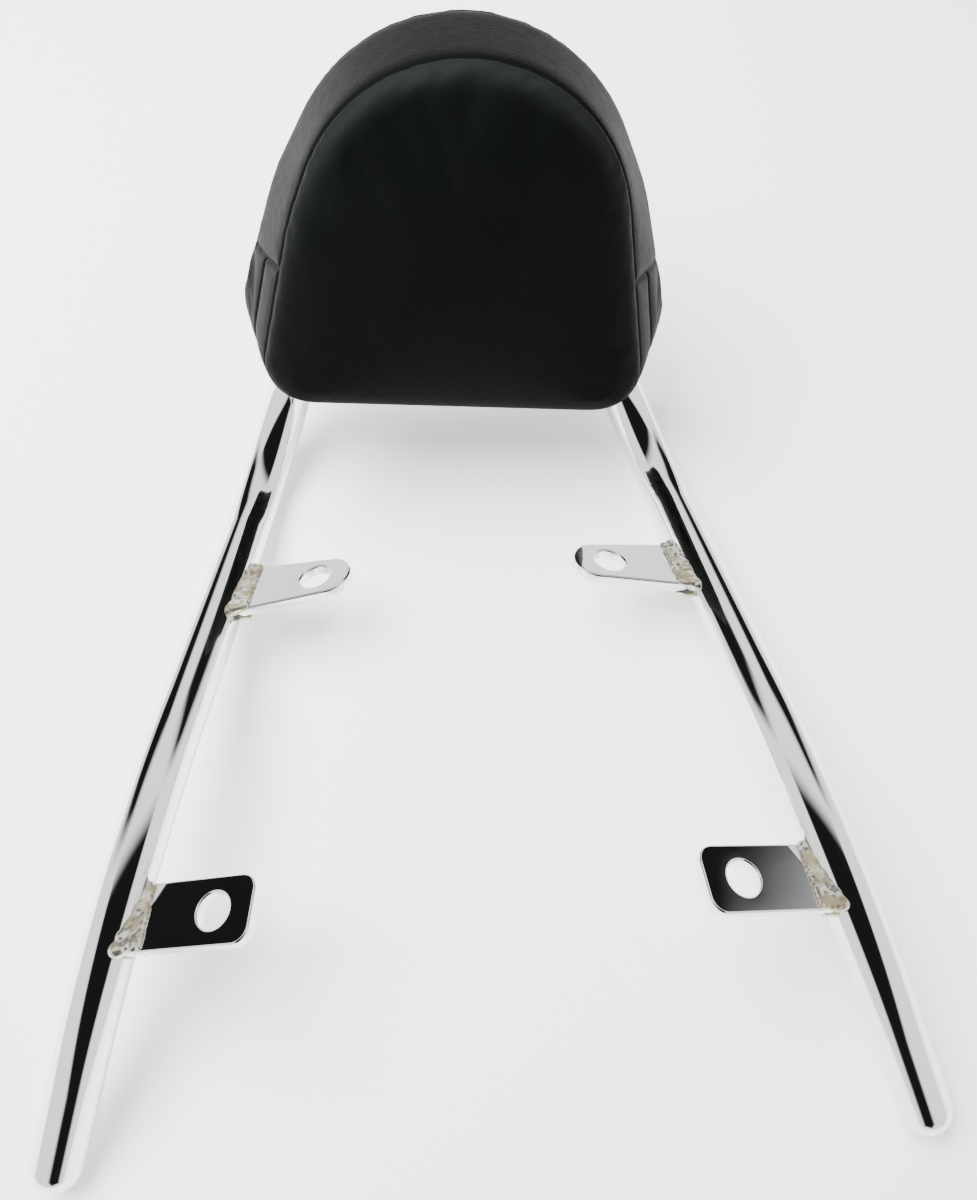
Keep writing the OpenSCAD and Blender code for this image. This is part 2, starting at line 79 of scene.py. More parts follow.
# How the pad's form is filled
FULLNESS = 0.6 * MM
FORM_CELL = 4 * MM
PINNED_STRIP = 2.6 * MM
SIDES_FROM = 50 * MM
FILL_FRAMES = 20
FILL_PRESSURE = 4

# How a seam draws the cover in: a narrow valley and a wide shoulder
VALLEY = 1.2 * MM
SHOULDER = 5 * MM
VALLEY_SHARE = 0.7
SEAM_SNAP = 0.15 * MM
WELT_STEPS = 240

# Camera, floor and light
PHOTO_HEIGHT = 1200
SENSOR_MM = 36.0
FLOOR_HALF = 6
FLOOR_DROP = 0.2 * MM
SOFTBOX_SIZE = (1.1, 0.8)
SOFTBOX_PLACE = Vector((-0.5, 0.35, 1.2))
SOFTBOX_AIM = Vector((0, 0.2, 0))


def length(name, description, millimetres):
    """A length property whose default is given in millimetres."""
    return bpy.props.FloatProperty(name=name, description=description, default=millimetres * MM,
                                   unit="LENGTH", subtype="DISTANCE", precision=4)


def amount(name, description, value):
    """A plain number that isn't negative."""
    return bpy.props.FloatProperty(name=name, description=description, default=value, min=0)


def angle(name, description, degrees):
    """An angle property whose default is given in degrees."""
    return bpy.props.FloatProperty(name=name, description=description, default=math.radians(degrees),
                                   subtype="ANGLE")


def colour(name, description, values):
    """A linear colour property."""
    return bpy.props.FloatVectorProperty(name=name, description=description, default=values, size=3,
                                         min=0, max=1, subtype="COLOR")


def factor(name, description, value):
    """A property from 0 to 1."""
    return bpy.props.FloatProperty(name=name, description=description, default=value, min=0, max=1,
                                   subtype="FACTOR")


class FrameSizes(bpy.types.PropertyGroup):
    """Sizes of the rails, the uprights and the hoop"""

    tube_d: length("Tube", "Outside diameter of the tube", 25.4)
    tip_half: length("Half tip width", "From the centre plane to a rail tip", 206)
    bend_half: length("Half bend width", "From the centre plane to a rear bend", 114.5)
    rail_run: length("Rail run", "How far behind the tips the rear bends lie", 381.5)
    rise: angle("Rise", "Slope of a rail's front", 30.7)
    fall: angle("Fall", "Slope of a rail's back", 18.1)
    taper: angle("Taper", "Angle of a rail's back in plan", 10)
    crest_r: length("Crest radius", "Bend radius of a rail's crest", 224)
    bend_r: length("Bend radius", "Bend radius below the upright", 76)
    lean: angle("Lean", "How far the upright leans back", 23.8)
    splay: angle("Splay", "How much the uprights close in", 20.9)
    upright_len: length("Upright", "Length of the splayed upright", 73)
    leg_r: length("Leg radius", "Bend radius at the foot of a leg", 36)
    leg_straight: length("Leg", "Straight stretch of a leg", 16)
    hoop_r: length("Shoulder radius", "Bend radius of the hoop's shoulders", 72)


class TabSizes(bpy.types.PropertyGroup):
    """Sizes of the bolt tabs and their welds"""

    thick: length("Thickness", "Thickness of a tab", 6)
    reach: length("Reach", "From the tube's axis to the end of a tab", 76)
    hole_reach: length("Hole reach", "From the tube's axis to a hole's centre", 55.5)
    hole_d: length("Hole", "Diameter of a bolt hole", 17)
    front_y: length("Front place", "Place of the front tabs behind the tips", 103.5)
    front_w: length("Front width", "Width of a front tab", 32)
    front_r: length("Front corners", "Corner radius of a front tab", 8)
    front_roll: angle("Front roll", "Slope of a front tab up to the middle", 21.5)
    front_pitch: angle("Front pitch", "Slope of a front tab down to the back", 15)
    rear_y: length("Rear place", "Place of the rear tabs behind the tips", 276)
    rear_w: length("Rear width", "Width of a rear tab at its root", 38)
    rear_r: length("Rear end", "Radius of a rear tab's round end", 14)
    rear_roll: angle("Rear roll", "Slope of a rear tab up to the middle", 15)
    rear_pitch: angle("Rear pitch", "Slope of a rear tab down to the back", 28)
    edge: length("Edge rounding", "Rounding of a tab's edges", 1.1)
    weld_r: length("Weld", "Radius of the weld lumps", 4.4)
    weld_reach: length("Weld reach", "From the tube's axis to the far side of a weld", 21)


class PadSizes(bpy.types.PropertyGroup):
    """Sizes of the pad"""

    width: length("Width", "Width of the front panel", 202.3)
    height: length("Height", "Height of the front panel", 176.6)
    dome_r: length("Dome radius", "Radius of the domed top", 81)
    dome_x: length("Dome shift", "How far the domed top sits to the right", 1.5)
    flank_r: length("Flank radius", "Radius of the front panel's flanks", 87)
    flank_h: length("Flank height", "Height of the middle of the flanks", 75)
    corner_r: length("Corner radius", "Radius of the lower corners", 22)
    side_flare: length("Side flare", "How much wider the back seam is on each side", 18)
    back_height: length("Back height", "Height of the back seam", 180.5)
    back_dome_r: length("Back dome radius", "Radius of the domed top at the back seam", 92)
    back_x: length("Back shift", "How far the back seam sits to the right", 2)
    back_flank_r: length("Back flank radius", "Radius of the flanks at the back seam", 105.5)
    back_flank_h: length("Back flank height", "Height of the middle of those flanks", 60)
    back_corner_r: length("Back corners", "Radius of the lower corners at the back seam", 32)
    back_drop: length("Back drop", "How much lower the back seam's lower edge lies", 1)
    drop: length("Pad drop", "How far the pad reaches below the foot of a leg", 6)
    seam_front: length("Front seam", "How far the front seam stands before the hoop", 44)
    seam_back: length("Back seam", "How far the back seam stands behind the hoop", 10)
    front_crown: length("Front crown", "Height of the front panel's crown", 13.5)
    front_round: length("Front rounding", "Width of the rounding round the front panel", 30)
    back_crown: length("Back crown", "Height of the back panel's crown", 10)
    back_round: length("Back rounding", "Width of the rounding round the back panel", 14)
    band_seam_h: length("Band seam", "Height of the seam below the upper band", 75)
    band_seam_angle: angle("Band seam angle", "How much that seam drops to the back", 12)
    side_seam: length("Side seam", "Where the side panels meet the back panel", 20)
    lower_half: length("Lower band", "Half the width of the lower band", 70)
    turn: angle("Turn", "How far the pad has turned on its hoop", 5.5)
    puff: length("Puff", "Most that the filling may push the cover out", 5)
    groove: length("Seam depth", "How deep the seams draw in", 2.2)
    cover: length("Cover", "Thickness of the leather", 1.6)
    foam_gap: length("Foam depth", "How far the filling lies below the cover's outside", 2.2)
    welt_r: length("Welt", "Radius of the welt in the front seam", 0.7)
    # Painted highlight: the leather is painted lighter at this distance from a seam, in place of light from
    # above on the rounded edges
    rim: length("Light rim", "How far from a seam the leather is lightest", 6)
    rim_w: length("Light rim width", "Width over which that light tone fades", 5.5)


class Finishes(bpy.types.PropertyGroup):
    """Colours and gloss of the materials"""

    chrome: colour("Chrome", "Colour of the polished plating", (0.86, 0.87, 0.87))
    chrome_gloss: factor("Chrome roughness", "Roughness of the polished plating", 0.045)
    weld: colour("Weld", "Colour of the plated welds", (0.66, 0.64, 0.57))
    weld_tint: colour("Weld tint", "Brassy tint in the welds' hollows", (0.46, 0.4, 0.26))
    front: colour("Front leather", "Colour of the front panel's leather", (0.0024, 0.0032, 0.0024))
    # Painted highlight: the lit rim colours make the leather lighter along the seams, most at the top, in
    # place of light from above on the rounded edges
    front_lit_rim: colour("Front leather rim", "Lighter tone of that leather along the seams",
                       (0.0105, 0.0122, 0.0108))
    band: colour("Band leather", "Colour of the bands' leather", (0.0026, 0.0032, 0.0027))
    band_lit_rim: colour("Band leather rim", "Lighter tone of that leather along the seams",
                      (0.0042, 0.005, 0.0043))
    leather_gloss: factor("Leather roughness", "Roughness of the leather", 0.48)
    zinc: colour("Zinc", "Colour of the plated fixings", (0.6, 0.62, 0.64))
    plywood: colour("Plywood", "Colour of the board", (0.42, 0.28, 0.15))
    foam: colour("Foam", "Colour of the foam", (0.75, 0.68, 0.45))


class StudioSettings(bpy.types.PropertyGroup):
    """Light, floor and camera"""

    floor: colour("Floor", "Colour of the floor", (0.93, 0.93, 0.93))
    floor_glow: amount("Floor glow", "Light from the floor itself", 0.7)
    room_light: amount("Room light", "Strength of the white room", 1.65)
    room_dark: factor("Dark areas", "Brightness of the dark parts of the room", 0.008)
    overhead: amount("Overhead", "Power of the overhead light, in watts", 70)
    pitch: angle("Camera pitch", "How far the camera looks down", 68.84)
    yaw: angle("Camera yaw", "How far the camera is turned", -2.54)
    roll: angle("Camera roll", "How far the camera is tilted", -0.88)
    focal_px: amount("Focal length", "Focal length in pixels of the photograph", 1000)
    place: bpy.props.FloatVectorProperty(name="Camera place", description="Where the camera stands",
                                         default=(0.0043, -0.1738, 0.547), size=3, subtype="TRANSLATION")


class Socket:
    """Shader maths as Python expressions: an expression on sockets adds its Math nodes."""

    def __init__(self, tree, out):
        self.tree = tree
        self.out = out

    def math(self, operation, *values):
        return node(self.tree, "ShaderNodeMath", {"operation": operation}, dict(enumerate(values)))

    def __add__(self, other):
        return self.math("ADD", self, other)

    __radd__ = __add__

    def __mul__(self, other):
        return self.math("MULTIPLY", self, other)

    __rmul__ = __mul__

    def __sub__(self, other):
        return self.math("SUBTRACT", self, other)

    def __rsub__(self, other):
        return self.math("SUBTRACT", other, self)

    def ramp(self, low, high):
        """0 at low and 1 at high, smoothly."""
        return node(self.tree, "ShaderNodeMapRange", {"interpolation_type": "SMOOTHSTEP"},
                    {"Value": self, "From Min": low, "From Max": high})


def node(tree, kind, settings=None, inputs=None, output=0):
    """Adds a node, sets it up, and fills its sockets with values or links."""
    made = tree.nodes.new(kind)
    for name, value in (settings or {}).items():
        setattr(made, name, value)
    for name, value in (inputs or {}).items():
        if isinstance(value, Socket):
            tree.links.new(value.out, made.inputs[name])
        else:
            made.inputs[name].default_value = value
    return Socket(tree, made.outputs[output] if len(made.outputs) else None)


def blend_colours(tree, share, first, second):
    """A colour between two, by a factor."""
    made = tree.nodes.new("ShaderNodeMix")
    made.data_type = "RGBA"
    by_id = {s.identifier: s for s in made.inputs}
    for name, value in {"Factor_Float": share, "A_Color": first, "B_Color": second}.items():
        if isinstance(value, Socket):
            tree.links.new(value.out, by_id[name])
        else:
            by_id[name].default_value = (*value, 1) if len(value) == 3 else value
    result = next(s for s in made.outputs if s.identifier == "Result_Color")
    return Socket(tree, result)


def material(name, build):
    """A material whose surface's sockets come from build(tree)."""
    made = bpy.data.materials.new(name)
    made.use_nodes = True
    tree = made.node_tree
    tree.nodes.clear()
    surface = node(tree, "ShaderNodeBsdfPrincipled", None, build(tree))
    node(tree, "ShaderNodeOutputMaterial", None, {"Surface": surface})
    return made


def object_place(tree):
    return node(tree, "ShaderNodeTexCoord", output=3)


def noise(tree, scale, detail=3.0, roughness=0.5):
    return node(tree, "ShaderNodeTexNoise", None,
                {"Vector": object_place(tree), "Scale": scale, "Detail": detail, "Roughness": roughness})


def bump(tree, height, strength, distance):
    return node(tree, "ShaderNodeBump", None, {"Height": height, "Strength": strength, "Distance": distance})


def opaque(values):
    return (*values, 1)


def chrome_material(finish):
    """Polished plating with faint haze and tiny waves."""
    def build(tree):
        haze = noise(tree, 35.0).ramp(0.35, 0.75)
        waves = noise(tree, 22.0, 1.0)
        return {"Base Color": blend_colours(tree, haze, finish.chrome, [c * 0.96 for c in finish.chrome]),
                "Metallic": 1.0, "Roughness": finish.chrome_gloss + haze * 0.02,
                "Normal": bump(tree, waves, 0.04, 0.002)}
    return material("polished_chrome", build)


def weld_material(finish):
    """A plated bead: bright plating with brassy, duller patches laid by noise."""
    def build(tree):
        patches = noise(tree, 130.0, 4.0, 0.6).ramp(0.4, 0.62)
        fine = noise(tree, 300.0, 2.0)
        return {"Base Color": blend_colours(tree, patches, finish.weld, finish.weld_tint),
                "Metallic": 0.95, "Roughness": 0.24 + patches * 0.2,
                "Normal": bump(tree, fine, 0.3, 0.0006)}
    return material("plated_weld", build)


def leather_material(name, low, high, gloss):
    """Fine-grained leather: small round cells with creases between them, and a painted highlight that makes
    it lighter along the seams.
    """
    def build(tree):
        cells = node(tree, "ShaderNodeTexVoronoi", {"feature": "SMOOTH_F1"},
                     {"Vector": object_place(tree), "Scale": 900.0, "Smoothness": 0.4})
        creases = noise(tree, 160.0, 4.0, 0.6)
        # Painted highlight: the rim attribute blends in the lighter colour near the seams, strongest at the
        # top of the pad
        rim = node(tree, "ShaderNodeAttribute", {"attribute_name": "rim"}, output=2)
        tone = noise(tree, 18.0, 2.0).ramp(0.3, 0.7) * 0.08 + rim
        height = cells * -0.6 + creases * 0.5
        return {"Base Color": blend_colours(tree, tone, low, high),
                "Roughness": gloss + creases * 0.14 - 0.05,
                "Specular IOR Level": 0.022,
                "Normal": bump(tree, height, 0.32, 0.0006)}
    return material(name, build)


def zinc_material(finish):
    """Plated steel with a fine brushed haze."""
    def build(tree):
        haze = noise(tree, 300.0, 4.0)
        return {"Base Color": opaque(finish.zinc), "Metallic": 1.0, "Roughness": 0.25 + haze * 0.2}
    return material("zinc_plate", build)


def plywood_material(finish):
    """Raw plywood with long grain across the board."""
    def build(tree):
        grain = node(tree, "ShaderNodeTexWave", {"wave_type": "BANDS", "bands_direction": "Z"},
                     {"Vector": object_place(tree), "Scale": 60.0, "Distortion": 6.0, "Detail": 3.0})
        dark = [c * 0.6 for c in finish.plywood]
        return {"Base Color": blend_colours(tree, grain, finish.plywood, dark), "Roughness": 0.75}
    return material("raw_plywood", build)


def foam_material(finish):
    """Open-cell foam."""
    def build(tree):
        pores = node(tree, "ShaderNodeTexVoronoi", None, {"Vector": object_place(tree), "Scale": 700.0})
        dark = [c * 0.55 for c in finish.foam]
        return {"Base Color": blend_colours(tree, pores, dark, finish.foam), "Roughness": 0.95,
                "Normal": bump(tree, pores, 0.5, 0.001)}
    return material("open_foam", build)


def object_from(bm, name, surface, smooth=60):
    """A finished piece from a bmesh. Edges sharper than smooth, in degrees, stay sharp."""
    bmesh.ops.remove_doubles(bm, verts=bm.verts, dist=1e-6)
    bmesh.ops.recalc_face_normals(bm, faces=bm.faces)
    mesh = bpy.data.meshes.new(name)
    bm.to_mesh(mesh)
    bm.free()
    made = bpy.data.objects.new(name, mesh)
    bpy.context.scene.collection.objects.link(made)
    mesh.materials.append(surface)
    mesh.shade_smooth()
    mesh.set_sharp_from_angle(angle=math.radians(smooth))
    return made


def placed(piece, slot, *nodes):
    """The piece rides on the part and stands for its CAD nodes."""
    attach(piece, ROOT)
    if nodes:
        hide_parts(*nodes)
    return piece


def evaluated_mesh(piece):
    """The piece's mesh with its modifiers applied."""
    graph = bpy.context.evaluated_depsgraph_get()
    return bpy.data.meshes.new_from_object(piece.evaluated_get(graph))


def apply_modifiers(piece):
    """Puts the modifiers' result in the piece's own mesh."""
    before = piece.data
    piece.data = evaluated_mesh(piece)
    piece.modifiers.clear()
    bpy.data.meshes.remove(before)


def mirrored(point):
    return Vector((-point.x, point.y, point.z))


class FrameLine:
    """Centre lines of the right rail and of the hoop, worked out from the driving sizes."""

    def __init__(self, sizes):
        self.sizes = sizes
        self.tube_r = sizes.tube_d / 2
        self.back = Vector((-math.tan(sizes.taper), 1, -math.tan(sizes.fall))).normalized()
        self.up = Vector((-math.sin(sizes.splay), math.cos(sizes.splay) * math.sin(sizes.lean),
                          math.cos(sizes.splay) * math.cos(sizes.lean)))
        self.slope_up = Vector((0, math.sin(sizes.lean), math.cos(sizes.lean)))
        self.face_out = Vector((0, -math.cos(sizes.lean), math.sin(sizes.lean)))
        turn = self.back.angle(self.up)
        inward = (self.up - self.back * self.back.dot(self.up)).normalized()
        low_at = math.atan2(-self.back.z * math.sin(turn), self.up.z - self.back.z * math.cos(turn))
        drop = (-sizes.bend_r * math.tan(turn / 2) * self.back.z + sizes.bend_r * inward.z
                + sizes.bend_r * (math.sin(low_at) * self.back.z - math.cos(low_at) * inward.z))
        self.bend_z = self.tube_r - drop
        self.front = CAD_BOX[0][1] + self.tube_r
        self.tip = Vector((sizes.tip_half, self.front, self.tube_r))
        self.bend = Vector((sizes.bend_half, self.front + sizes.rail_run, self.bend_z))
        crest_y = ((self.bend_z - self.tube_r + sizes.rail_run * math.tan(sizes.fall))
                   / (math.tan(sizes.rise) + math.tan(sizes.fall)))
        self.crest = self.bend - self.back * ((sizes.rail_run - crest_y) / self.back.y)
        self.leg_half = sizes.bend_half - sizes.upright_len * math.sin(sizes.splay)
        self.leg_start = sizes.upright_len * math.cos(sizes.splay)
        leg_high = self.leg_start + sizes.leg_r * math.tan(sizes.splay / 2) + sizes.leg_straight
        self.hoop_top = leg_high + sizes.hoop_r
        self.joint = self.on_hoop(self.leg_half, leg_high - sizes.leg_straight / 4)
        self.shoulder = self.on_hoop(self.leg_half, self.hoop_top)
        leg = self.bend + self.up * sizes.upright_len
        self.rail = [self.tip, self.crest, self.bend, leg, self.joint]
        self.rail_radii = [0, sizes.crest_r, sizes.bend_r, sizes.leg_r, 0]

    def on_hoop(self, across, up):
        return Vector((across, self.bend.y, self.bend_z)) + self.slope_up * up

    def at(self, y):
        """The rail's centre and direction at a distance behind the tips."""
        front = (self.crest - self.tip).normalized()
        turn = front.angle(self.back)
        reach = self.sizes.crest_r * math.tan(turn / 2)
        start = self.crest - front * reach
        y += self.front
        if y > (self.crest + self.back * reach).y:
            return self.bend - self.back * ((self.bend.y - y) / self.back.y), self.back
        inward = (self.back - front * front.dot(self.back)).normalized()
        centre = start + inward * self.sizes.crest_r
        low, high = 0.0, turn
        for _ in range(30):
            middle = (low + high) / 2
            point = centre + (front * math.sin(middle) - inward * math.cos(middle)) * self.sizes.crest_r
            low, high = (middle, high) if point.y < y else (low, middle)
        return point, front * math.cos(middle) + inward * math.sin(middle)


def bent_tube(corners, radii, r, sides=64, turn_step=math.radians(3)):
    """A round bar along straight stretches and bends: its ring is extruded, then spun at each corner."""
    bm = bmesh.new()
    along = (corners[1] - corners[0]).normalized()
    ring_turn = along.to_track_quat("Z", "X").to_matrix().to_4x4()
    bmesh.ops.create_circle(bm, segments=sides, radius=r, matrix=Matrix.Translation(corners[0]) @ ring_turn)
    ring = bm.edges[:]
    bmesh.ops.edgeloop_fill(bm, edges=ring)
    at = corners[0]
    for i in range(1, len(corners)):
        along = (corners[i] - corners[i - 1]).normalized()
        onward = (corners[i + 1] - corners[i]).normalized() if i + 1 < len(corners) else along
        turn = along.angle(onward)
        goal = corners[i] - along * (radii[i] * math.tan(turn / 2))
        pushed = bmesh.ops.extrude_edge_only(bm, edges=ring)["geom"]
        verts = [g for g in pushed if isinstance(g, bmesh.types.BMVert)]
        bmesh.ops.translate(bm, verts=verts, vec=goal - at)
        ring = [g for g in pushed if isinstance(g, bmesh.types.BMEdge)
                and g.verts[0] in verts and g.verts[1] in verts]
        at = goal
        if turn > 1e-4:
            axis = along.cross(onward).normalized()
            inward = (onward - along * along.dot(onward)).normalized()
            spun = bmesh.ops.spin(bm, geom=ring, cent=at + inward * radii[i], axis=axis, dvec=(0, 0, 0),
                                  angle=turn, steps=max(4, round(turn / turn_step)), use_merge=False,
                                  use_normal_flip=False, use_duplicate=False)["geom_last"]
            ring = [g for g in spun if isinstance(g, bmesh.types.BMEdge)]
            at = corners[i] + onward * (radii[i] * math.tan(turn / 2))
    bmesh.ops.edgeloop_fill(bm, edges=ring)
    return bm


def flipped(bm):
    """The same shape on the other side of the centre plane."""
    bmesh.ops.scale(bm, vec=(-1, 1, 1), verts=bm.verts)
    return bm


def domed_plug(place, outward, r):
    """The half ball that closes a tube's tip."""
    bm = bmesh.new()
    turn = outward.to_track_quat("Z", "X").to_matrix().to_4x4()
    bmesh.ops.create_uvsphere(bm, u_segments=64, v_segments=32, radius=r)
    bmesh.ops.bisect_plane(bm, geom=bm.verts[:] + bm.edges[:] + bm.faces[:], dist=1e-7,
                           plane_co=(0, 0, 0), plane_no=(0, 0, 1), clear_inner=True)
    rim = [g for g in bm.edges if all(abs(v.co.z) < 1e-6 for v in g.verts)]
    bmesh.ops.edgeloop_fill(bm, edges=rim)
    bmesh.ops.transform(bm, matrix=Matrix.Translation(place) @ turn, verts=bm.verts)
    return bm


def bored_plate(inside, hole, thick, edge):
    """A flat plate with a round hole at the origin. inside(x, y) tells if a point lies within its outline."""
    bm = bmesh.new()
    bmesh.ops.create_circle(bm, segments=144, radius=hole)
    out = bmesh.ops.extrude_edge_only(bm, edges=bm.edges[:])["geom"]
    for v in [g for g in out if isinstance(g, bmesh.types.BMVert)]:
        way = v.co.normalized()
        low, high = hole, 0.2
        for _ in range(26):
            middle = (low + high) / 2
            low, high = (middle, high) if inside(way.x * middle, way.y * middle) else (low, middle)
        v.co = way * low
    top = bmesh.ops.extrude_face_region(bm, geom=bm.faces[:])["geom"]
    bmesh.ops.translate(bm, verts=[g for g in top if isinstance(g, bmesh.types.BMVert)], vec=(0, 0, thick))
    bmesh.ops.translate(bm, verts=bm.verts, vec=(0, 0, -thick / 2))
    bmesh.ops.recalc_face_normals(bm, faces=bm.faces)
    sharp = [e for e in bm.edges if e.calc_face_angle(0) > math.radians(50)
             and abs(abs(e.verts[0].co.z) - thick / 2) < 1e-6
             and abs(e.verts[0].co.z - e.verts[1].co.z) < 1e-6]
    bmesh.ops.bevel(bm, geom=sharp, offset=edge, offset_type="OFFSET", segments=4, profile=0.5,
                    affect="EDGES", material=-1)
    return bm


def front_outline(tabs, root):
    """Whether a point, measured from the hole, lies in a front tab."""
    half, end = tabs.front_w / 2, tabs.reach - tabs.hole_reach
    corner = Vector((end - tabs.front_r, half - tabs.front_r))

    def inside(x, y):
        if x > corner.x and abs(y) > corner.y:
            return (Vector((x, abs(y))) - corner).length < tabs.front_r
        return root < x < end and abs(y) < half
    return inside


def rear_outline(tabs, root):
    """Whether a point, measured from the hole, lies in a tapered rear tab."""
    half, end = tabs.rear_w / 2, tabs.reach - tabs.rear_r
    flank = math.asin((half - tabs.rear_r) / end)

    def inside(x, y):
        along = x + tabs.hole_reach
        if along > end + tabs.rear_r * math.sin(flank):
            return math.hypot(along - end, y) < tabs.rear_r
        return x > root and abs(y) < half / math.cos(flank) - along * math.tan(flank)
    return inside


def tab_place(line, y, roll, pitch):
    """The right tab's own axes: inward, back and up, at the tube's axis."""
    centre, along = line.at(y)
    return (Matrix.Translation(centre) @ Matrix.Rotation(roll, 4, "Y") @ Matrix.Rotation(-pitch, 4, "X")
            @ Matrix.Scale(-1, 4, (1, 0, 0))), along


def weld_bead(line, tabs, y, roll, pitch, width, seed):
    """Overlapping lumps along both sides of a tab's root, melted into one bead."""
    rng = random.Random(seed)
    place, along = tab_place(line, y, roll, pitch)
    along = place.to_3x3().transposed() @ along
    along /= along.y
    bm = bmesh.new()
    for side in (-1, 1):
        for i in range(WELD_STEPS):
            across = (i / (WELD_STEPS - 1) - 0.5) * (width - tabs.weld_r)
            start = along.x * across + line.tube_r * 0.96
            for j in range(WELD_ROWS):
                part = j / (WELD_ROWS - 1)
                lump = tabs.weld_r * (0.8 - 0.42 * part) * rng.uniform(0.85, 1.15)
                at = (start + (tabs.weld_reach - lump - start) * part, across + rng.uniform(-0.6, 0.6) * MM,
                      side * (tabs.thick / 2 + lump * rng.uniform(-0.1, 0.15)))
                bmesh.ops.create_icosphere(bm, subdivisions=3, radius=lump,
                                           matrix=place @ Matrix.Translation(at))
    return bm


def melted(piece):
    """Joins overlapping lumps into one closed skin."""
    remesh = piece.modifiers.new("melt", "REMESH")
    remesh.mode = "VOXEL"
    remesh.voxel_size = WELD_CELL
    remesh.use_smooth_shade = True
    smooth = piece.modifiers.new("soften", "SMOOTH")
    smooth.factor = 0.5
    smooth.iterations = WELD_ROUNDS
    apply_modifiers(piece)
    piece.data.shade_smooth()


class PadShape:
    """The pad in its own axes: x across, y up from the lower edge, z out from the hoop's plane."""

    def __init__(self, pad, line):
        self.pad = pad
        self.to_part = (Matrix.Translation(line.on_hoop(0, line.leg_start - pad.drop))
                        @ Matrix.Rotation(math.pi / 2 - line.sizes.lean, 4, "X")
                        @ Matrix.Rotation(-pad.turn, 4, "Z"))
        dome_h = pad.height - pad.dome_r
        back_dome_h = pad.back_height - pad.back_dome_r
        corner_x = pad.width / 2 - pad.corner_r
        back_half = pad.width / 2 + pad.side_flare - pad.back_corner_r
        back_y = pad.back_corner_r - pad.back_drop
        self.front = [(pad.dome_x, dome_h, pad.dome_r), (0, pad.flank_h, pad.flank_r),
                      (corner_x, pad.corner_r, pad.corner_r), (-corner_x, pad.corner_r, pad.corner_r)]
        self.rear = [(pad.back_x, back_dome_h, pad.back_dome_r),
                     (pad.back_x, pad.back_flank_h, pad.back_flank_r),
                     (pad.back_x + back_half, back_y, pad.back_corner_r),
                     (pad.back_x - back_half, back_y, pad.back_corner_r)]

    def edge(self, outline, turn, margin):
        """The outline's furthest point in a direction. Below, only its corner circles count."""
        way = Vector((math.cos(turn), math.sin(turn)))
        circles = outline if way.y >= 0 else outline[2:]
        return max((Vector(c[:2]) + way * (c[2] - margin) for c in circles), key=lambda p: p.dot(way))

    def seam_height(self, z):
        """Height of the seam below the upper band at a distance out."""
        return self.pad.band_seam_h - (self.pad.seam_front - z) * math.tan(self.pad.band_seam_angle)

    def panel(self, p):
        """The cover panel that a place on the pad belongs to."""
        pad = self.pad
        if p.z > pad.seam_front:
            return "front_panel"
        if p.y > self.seam_height(p.z) and p.z > -pad.seam_back:
            return "upper_band"
        if p.z < -pad.seam_back:
            return "back_panel"
        if abs(p.x) < pad.lower_half:
            return "lower_band"
        if p.z > pad.side_seam:
            return "right_side_panel" if p.x > 0 else "left_side_panel"
        return "back_panel"

    def blank(self, margin):
        """The closed form before it is filled: one ring of the outline, extruded from back to front."""
        pad = self.pad
        steps, sides = 5, 96
        levels = []
        for i in range(steps, -1, -1):
            a = math.pi / 2 * i / steps
            levels.append((self.rear, -pad.seam_back - (pad.back_crown - margin) * math.sin(a),
                           1 - pad.back_round / (pad.width / 2) * (1 - math.cos(a))))
        for i in range(steps + 1):
            a = math.pi / 2 * i / steps
            levels.append((self.front, pad.seam_front + (pad.front_crown - margin) * math.sin(a),
                           1 - pad.front_round / (pad.width / 2) * (1 - math.cos(a))))
        bm = bmesh.new()
        bmesh.ops.create_circle(bm, segments=sides, radius=1)
        ring = bm.verts[:]
        turns = [math.atan2(v.co.y, v.co.x) for v in ring]
        bmesh.ops.edgeloop_fill(bm, edges=bm.edges[:])
        for number, (outline, z, scale) in enumerate(levels):
            if number:
                edges = [e for e in bm.edges if e.verts[0] in ring and e.verts[1] in ring]
                out = bmesh.ops.extrude_edge_only(bm, edges=edges)["geom"]
                fresh = {g for g in out if isinstance(g, bmesh.types.BMVert)}
                ring = [next(e.other_vert(v) for e in v.link_edges if e.other_vert(v) in fresh) for v in ring]
            for v, turn in zip(ring, turns):
                p = self.edge(outline, turn, margin)
                v.co = (p.x * scale, pad.flank_h + (p.y - pad.flank_h) * scale, z)
        bmesh.ops.edgeloop_fill(bm, edges=[e for e in bm.edges if e.verts[0] in ring and e.verts[1] in ring])
        bmesh.ops.recalc_face_normals(bm, faces=bm.faces)
        return bm

    def near_seam(self, p, width):
        """Whether a place on the cover lies within a width of a seam."""
        pad = self.pad
        if abs(p.z - pad.seam_front) < width:
            return True
        below = p.y < self.seam_height(p.z)
        between = -pad.seam_back < p.z < pad.seam_front
        if between and abs(p.y - self.seam_height(p.z)) < width and abs(p.x) > SIDES_FROM:
            return True
        if abs(p.z + pad.seam_back) < width and (not below or abs(p.x) < pad.lower_half):
            return True
        if below and abs(p.x) > pad.lower_half and abs(p.z - pad.side_seam) < width:
            return True
        from_lower_band = abs(abs(p.x) - pad.lower_half)
        return below and p.y < pad.corner_r and from_lower_band < width and p.z > -pad.seam_back


